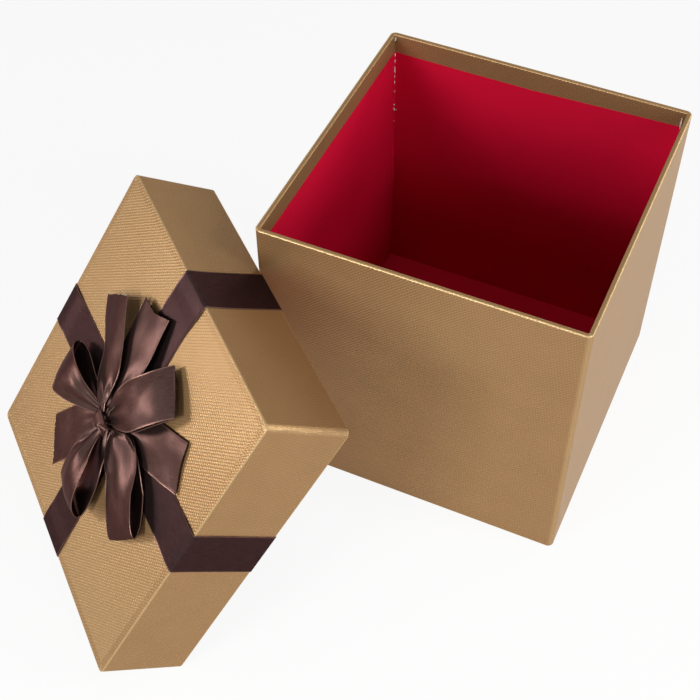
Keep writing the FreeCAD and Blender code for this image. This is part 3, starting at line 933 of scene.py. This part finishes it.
def cross_shape(spec, share, place):
    # Height of the ribbon's surface above its middle line at a place across it from -1 to 1
    opened = smooth_step(share / spec["flare"])
    pleats = spec["pleat"] * (1 - opened) * math.cos(PLEAT_COUNT * math.pi * place + PLEAT_PHASE)
    trough = spec["trough"] * math.sin(math.pi * min(share / spec["trough_end"], 1.0)) * (place * place - 0.5)
    crown = spec["crown"] * opened * (0.5 - place * place)
    side = math.copysign(1.0, spec["droop"]) * place
    inside = smooth_step((side - spec["droop_start"]) / (1 - spec["droop_start"]))
    bent = abs(spec["droop"]) * inside * math.sin(math.pi * min(share / spec["droop_end"], 1.0))
    uneven = noise_at(Vector((share * WOBBLES_ALONG, place * WOBBLES_ACROSS, spec["heading"])))
    wobble = WOBBLE * uneven * smooth_step(share / WOBBLE_FADE_IN)
    return (pleats + trough + crown - bent + wobble) * MM


def strip_row(spec, line, place, last, tuck=0.0):
    outward, _ = bow_directions(spec)
    point, across, through, width, share = ribbon_frame(spec, line, place, last)
    row = []
    for across_place, _ in COLUMNS:
        height = cross_shape(spec, share, across_place)
        row.append(point - outward * tuck + across * (across_place * width / 2) + through * height)
    return row


def add_ribbon(node, rows):
    lengths = row_lengths(rows)
    name = node.replace("bow_", "satin_")
    ribbon = make_piece(name, thick_strip(rows, lengths), "brown_satin", "lid", LID_PLACE)
    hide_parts(node)


def build_loop(node, spec):
    last = math.pi
    rows = [strip_row(spec, loop_line, 0.0, last, ROOT_TUCK)]
    for step in range(LOOP_STEPS + 1):
        rows.append(strip_row(spec, loop_line, last * step / LOOP_STEPS, last))
    rows.append(strip_row(spec, loop_line, last, last, ROOT_TUCK))
    add_ribbon(node, rows)


def end_cut(spec, place, jitter):
    # How much longer than its reach a tail is at a place across its end
    return (spec["slant"] * place - spec["notch"] * (1 - abs(place)) + spec["fray"] * jitter) * MM


def end_share(spec, place, jitter):
    # The share of its reach at which a tail ends at a place across it
    return 1 + end_cut(spec, place, jitter) / (spec["reach"] * MM)


def build_tail(node, spec, seed):
    dice = random.Random(seed)
    jitters = [dice.uniform(-1, 1) for _ in COLUMNS]
    rows = [strip_row(spec, tail_line, 0.0, 1.0, ROOT_TUCK)]
    for step in range(TAIL_STEPS + 1):
        row = []
        for (place, _), jitter in zip(COLUMNS, jitters):
            share = step / TAIL_STEPS * end_share(spec, place, jitter)
            point, across, through, width, share = ribbon_frame(spec, tail_line, share, TAIL_LIMIT)
            row.append(point + across * (place * width / 2) + through * cross_shape(spec, share, place))
        rows.append(row)
    add_ribbon(node, rows)


# Knot: a ribbon folded lengthwise and wrapped over a gathered core, with its end folded out sideways
KNOT_ROUND = 40
KNOT_ACROSS = 16
KNOT_LAYERS = 2.0
KNOT_BEND = 2.4 * MM
KNOT_SPACING = 0.6 * MM
KNOT_SLOPE = 0.3 * MM
KNOT_START = -4.5 * MM
KNOT_END = 6.0 * MM
KNOT_SHEAR = 0.8
KNOT_TURN = math.radians(-8.0)
KNOT_SHARP_ANGLE = math.radians(60.0)
# Width of the knot's ribbon, in millimetres, along its way over the core, and its relief across
KNOT_WIDTHS = [(0.0, 3.5), (6.0, 7.4), (10.0, 9.0), (15.0, 9.4), (19.0, 7.6), (26.0, 1.6)]
KNOT_CROWN = 0.12 * MM
KNOT_CROWN_LEVEL = 0.4
KNOT_CREASE = 0.04 * MM
KNOT_CREASE_PHASE = 0.5
# The core's half sizes, its bluntness and its gathers
CORE_LENGTH = 0.44 * (KNOT_END - KNOT_START)
CORE_WIDTH = 0.45 * KNOT_WIDTH
CORE_HEIGHT = 0.42 * KNOT_HEIGHT
CORE_POWER = 3
CORE_END = 0.05
CORE_FOLD = 0.3 * MM
CORE_FOLD_COUNT = 5
CORE_FOLD_PHASE = 0.4
# The folded end: places along it from the middle of the knot, in millimetres, each with the width there
FOLD_LINE = [((5.6, 3.0, 4.2), 6.4), ((6.6, 1.2, 4.9), 7.0), ((7.7, -0.6, 4.2), 4.2), ((8.9, -2.6, 2.9), 0.6)]
FOLD_ACROSS = Vector((0.86, 0.5, -0.13))
FOLD_STEPS = 16


def knot_core():
    middle = (KNOT_START + KNOT_END) / 2
    rows = []
    for step in range(KNOT_ACROSS + 1):
        place = 2 * step / KNOT_ACROSS - 1
        swell = math.sqrt(max(1 - abs(place) ** CORE_POWER, CORE_END))
        fold = CORE_FOLD * math.cos(CORE_FOLD_COUNT * math.pi * place + CORE_FOLD_PHASE)
        row = []
        for angle in circle_angles(KNOT_ROUND):
            x = middle + (CORE_LENGTH * swell + fold) * math.cos(angle)
            z = (CORE_HEIGHT * swell + fold) * math.sin(angle)
            row.append(Vector((x, place * CORE_WIDTH, z)))
        rows.append(row)

    def place_on_sheet(row, column):
        across = (2 * row / KNOT_ACROSS - 1) * RIBBON_WIDTH / 2
        return across, column / KNOT_ROUND * 2 * (KNOT_LENGTH + KNOT_HEIGHT)

    return capped_rings(rows, place_on_sheet)


def knot_band():
    foot = -KNOT_HEIGHT / 2
    top = KNOT_HEIGHT / 2
    corners = [
        (KNOT_START, foot),
        (KNOT_START, top - KNOT_SLOPE),
        (KNOT_END, top + KNOT_SLOPE),
        (KNOT_END, foot),
    ]
    path = rounded_path(corners, KNOT_BEND, KNOT_SPACING)
    lengths = path_lengths(path)
    rows = []
    for i, (u, z) in enumerate(path):
        ahead = path[min(i + 1, len(path) - 1)] - path[max(i - 1, 0)]
        outer = Vector((-ahead.y, 0, ahead.x)).normalized()
        width = through_points(KNOT_WIDTHS, lengths[i] / MM) * MM
        shear = KNOT_SHEAR * smooth_step((u - KNOT_START) / (KNOT_END - KNOT_START))
        row = []
        for place, _ in COLUMNS:
            aside = place * width / 2
            crown = KNOT_CROWN * (KNOT_CROWN_LEVEL - place * place)
            crease = KNOT_CREASE * math.cos(2 * math.pi * place + KNOT_CREASE_PHASE)
            row.append(Vector((u + shear * aside, aside, z)) + outer * (crown + crease))
        rows.append(row)
    return thick_strip(rows, lengths, KNOT_LAYERS)


def knot_fold():
    places = [[(step, place[axis]) for step, (place, _) in enumerate(FOLD_LINE)] for axis in range(3)]
    widths = [(step, width) for step, (_, width) in enumerate(FOLD_LINE)]
    last = len(FOLD_LINE) - 1
    rows = []
    for step in range(FOLD_STEPS + 1):
        share = last * step / FOLD_STEPS
        point = Vector([through_points(axis_places, share) for axis_places in places]) * MM
        width = through_points(widths, share) * MM
        rows.append([point + FOLD_ACROSS * (place * width / 2) for place, _ in COLUMNS])
    return thick_strip(rows, row_lengths(rows))


def build_knot():
    centre = Vector((*KNOT_PLACE, LID_DEPTH + KNOT_CLEARANCE + KNOT_HEIGHT / 2))
    turn = Matrix.Rotation(KNOT_TURN, 3, "Z")
    points, faces, maps = joined([knot_core(), knot_band(), knot_fold()])
    skin = [centre + turn @ point for point in points], faces, maps
    knot = make_piece("satin_knot", skin, "brown_satin", "lid", LID_PLACE, KNOT_SHARP_ANGLE)
    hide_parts("bow_knot")


# Loose threads at the frayed end of a tail: how far across the end they start, from -1 to 1, their length in
# millimetres and their angle in degrees
THREADS = [(-1.0, 9.5, 28.0), (-0.9, 6.5, 14.0), (-0.2, 3.0, 60.0), (0.5, 2.6, 75.0), (0.95, 3.2, 120.0)]
THREAD_RADIUS = 0.09 * MM
THREAD_TAPER = 0.5
THREAD_TUCK = 0.4 * MM
THREAD_ARCH = 0.8 * MM
THREAD_SAG = 1.5 * MM
THREAD_SIDES = 6
THREAD_STEPS = 10


def thread_skin(start, heading, length):
    rows = []
    for step in range(THREAD_STEPS + 1):
        share = step / THREAD_STEPS
        rise = THREAD_ARCH * math.sin(math.pi * share) - THREAD_SAG * share * share
        middle = start + heading * (length * share) + UP * rise
        radius = THREAD_RADIUS * (1 - THREAD_TAPER * share)
        row = []
        for angle in circle_angles(THREAD_SIDES):
            rim = UP.cross(heading) * math.cos(angle) + UP * math.sin(angle)
            row.append(middle + rim * radius)
        rows.append(row)

    def place_on_sheet(row, column):
        return column * THREAD_RADIUS, length * row / THREAD_STEPS

    return capped_rings(rows, place_on_sheet)


def build_threads(node, spec):
    outward, sideways = bow_directions(spec)
    skins = []
    for place, length, angle in THREADS:
        point, across, *_ = ribbon_frame(spec, tail_line, end_share(spec, place, 0.0), TAIL_LIMIT)
        start = point + across * (place * RIBBON_WIDTH / 2) - outward * THREAD_TUCK
        turn = math.radians(angle)
        heading = sideways * math.cos(turn) + outward * math.sin(turn)
        skins.append(thread_skin(start, heading, length * MM))
    name = node.replace("bow_", "satin_") + "_threads"
    threads = make_piece(name, joined(skins), "brown_satin", "lid", LID_PLACE)
    threads.data.materials[0] = MATERIALS["pale_thread"]


# Dabs of glue squeezed out in the back corners of the lining. The last two, at the back corners of the rim,
# are pale dabs that paint glints on the paper's folded corners. Columns: side of the box, distance from the
# corner along the back wall, lower end, upper end and thickness, in millimetres
GLUE_DABS_AND_GLINTS = [
    (-1, 0.30, 155.4, 158.6, 0.32), (-1, 0.35, 151.6, 154.2, 0.26), (-1, 0.30, 144.6, 149.4, 0.44),
    (-1, 0.35, 141.4, 143.4, 0.26), (-1, 0.30, 137.4, 139.6, 0.26), (-1, 0.35, 131.4, 132.8, 0.22),
    (-1, 0.40, 121.6, 123.2, 0.42), (-1, 0.45, 118.2, 120.4, 0.5), (-1, 1.70, 118.9, 119.9, 0.3),
    (-1, 0.35, 110.4, 111.6, 0.2), (-1, 0.20, 166.2, 169.0, 0.5), (1, 1.60, 159.4, 167.4, 0.5),
]
DAB_INSET = 0.3 * MM
DAB_END = 0.02
DAB_UNEVENNESS = 0.4
DAB_WAVES = 1.7
DAB_STEPS = 12
DAB_SIDES = 8


def dab_skin(side, aside, low, high, thickness):
    half = wall_liner_high.x - PAPER
    corner = Vector((side * (half - aside * MM), half - min(aside * MM, DAB_INSET), 0))
    rows = []
    for step in range(DAB_STEPS + 1):
        share = DAB_END + (1 - 2 * DAB_END) * step / DAB_STEPS
        height = low + (high - low) * share
        uneven = 1 + DAB_UNEVENNESS * noise_at(Vector((side, aside, height * DAB_WAVES)))
        radius = thickness * math.sqrt(math.sin(math.pi * share)) * uneven
        row = []
        for angle in circle_angles(DAB_SIDES):
            around = Vector((math.cos(angle), math.sin(angle), 0)) * radius
            row.append(corner + (around + UP * height) * MM)
        rows.append(row)

    def place_on_sheet(row, column):
        return column * MM, row * MM

    return capped_rings(rows, place_on_sheet)


def build_glue_dabs_and_glints():
    skins = [dab_skin(*dab) for dab in GLUE_DABS_AND_GLINTS]
    make_piece("lining_glue_dabs_and_glints", joined(skins), "glue", "box")


# Nodes that keep their shape from the model
KEPT_NODES = {
    "grey_board": [
        "base_floor_board", "base_front_board", "base_right_board", "base_back_board", "base_left_board",
        "lid_top_board", "lid_front_board", "lid_right_board", "lid_back_board", "lid_left_board",
    ],
    "red_paper": ["base_floor_liner", "lid_top_liner", "lid_skirt_liner"],
    "underside_paper": ["base_underside_sheet"],
    "stay_tape": ["base_corner_stays", "lid_corner_stays"],
    "glue": ["bow_glue_pad"],
}


def dress_kept_nodes():
    for slot, names in KEPT_NODES.items():
        for name in names:
            for material_slot in nodes[name].material_slots:
                material_slot.material = MATERIALS[slot]


# Stage: floor, world, lamps and camera, in metres and watts
FLOOR_HALF = 6.0
FLOOR_SOCKETS = {"Base Color": (0.9, 0.9, 0.9, 1), "Roughness": 0.9, "Specular IOR Level": 0.0}
BACKDROP_WHITE = 0.9
WORLD_LIGHT = 0.03
LAMP_AIM = Vector((0, 0, 0.08))
LAMPS = {
    "key": {"place": (-0.41, -1.01, 0.51), "size": 0.35, "power": 7.0},
    "front_right": {"place": (0.89, -0.69, 0.41), "size": 0.5, "power": 4.4},
    "right": {"place": (0.89, 0.0, 0.8), "size": 0.3, "power": 3.7},
    "right_low": {"place": (1.12, 0.1, 0.41), "size": 0.3, "power": 2.6},
    "back_right": {"place": (0.8, 0.8, 0.41), "size": 0.3, "power": 2.7},
    "left_low": {"place": (-1.1, -0.43, 0.12), "size": 0.18, "power": 2.0},
    "overhead": {"place": (0.0, -0.05, 1.2), "size": 0.3, "power": 1.1},
    "front_high": {"place": (0.05, -0.6, 0.5), "size": 0.14, "power": 0.5},
}


def seen_directly(tree):
    # One for rays from the camera, in reflections and through clear surfaces
    path = add_node(tree, "ShaderNodeLightPath").outputs
    seen = calculate(tree, "MAXIMUM", path["Is Camera Ray"], path["Is Glossy Ray"])
    return calculate(tree, "MAXIMUM", seen, path["Is Transmission Ray"])


def build_floor():
    mesh = bpy.data.meshes.new("floor")
    corners = [(-1, -1), (1, -1), (1, 1), (-1, 1)]
    points = [(x * FLOOR_HALF, y * FLOOR_HALF, cad_low.z) for x, y in corners]
    mesh.from_pydata(points, [], [(0, 1, 2, 3)])
    floor = bpy.data.objects.new("floor", mesh)
    bpy.context.scene.collection.objects.link(floor)
    material, tree, shader = new_material("floor")
    set_sockets(shader, FLOOR_SOCKETS)
    white = add_node(tree, "ShaderNodeEmission", {"Color": WHITE, "Strength": 1.0}).outputs[0]
    share = calculate(tree, "MULTIPLY", seen_directly(tree), BACKDROP_WHITE)
    mixed = add_node(tree, "ShaderNodeMixShader", {0: share, 1: shader.outputs[0], 2: white})
    tree.links.new(mixed.outputs[0], tree.nodes["Material Output"].inputs["Surface"])
    mesh.materials.append(material)


def build_world():
    world = bpy.data.worlds.new("studio")
    world.use_nodes = True
    tree = world.node_tree
    light = tree.nodes["Background"]
    set_sockets(light, {"Color": WHITE, "Strength": WORLD_LIGHT})
    white = add_node(tree, "ShaderNodeBackground", {"Color": WHITE, "Strength": BACKDROP_WHITE}).outputs[0]
    share = seen_directly(tree)
    mixed = add_node(tree, "ShaderNodeMixShader", {0: share, 1: light.outputs[0], 2: white})
    tree.links.new(mixed.outputs[0], tree.nodes["World Output"].inputs["Surface"])
    bpy.context.scene.world = world


def build_lamps():
    for name, spec in LAMPS.items():
        lamp = bpy.data.lights.new(name, "AREA")
        lamp.size = spec["size"]
        lamp.energy = spec["power"]
        holder = bpy.data.objects.new(name, lamp)
        holder.location = spec["place"]
        holder.rotation_euler = (LAMP_AIM - holder.location).to_track_quat("-Z", "Y").to_euler()
        holder.visible_camera = False
        bpy.context.scene.collection.objects.link(holder)


def build_camera():
    camera = bpy.data.cameras.new("camera")
    camera.lens = CAMERA_LENS
    camera.sensor_width = CAMERA_SENSOR
    holder = bpy.data.objects.new("camera", camera)
    facing = (CAMERA_TARGET - CAMERA_EYE).to_track_quat("-Z", "Y").to_matrix()
    rolled = facing @ Matrix.Rotation(CAMERA_ROLL, 3, "Z")
    holder.matrix_world = Matrix.Translation(CAMERA_EYE) @ rolled.to_4x4()
    bpy.context.scene.collection.objects.link(holder)
    bpy.context.scene.camera = holder


build_base_wrap()
build_wall_liner()
build_lid_wrap()
for node, spec in BANDS.items():
    build_band(node, spec)
build_knot()
for node, spec in LOOPS.items():
    build_loop(node, spec)
for seed, (node, spec) in enumerate(TAILS.items()):
    build_tail(node, spec, seed)
build_threads("bow_tail_upper_left", TAILS["bow_tail_upper_left"])
build_glue_dabs_and_glints()
dress_kept_nodes()
build_floor()
build_world()
build_lamps()
build_camera()
bpy.context.scene.view_settings.view_transform = "Standard"
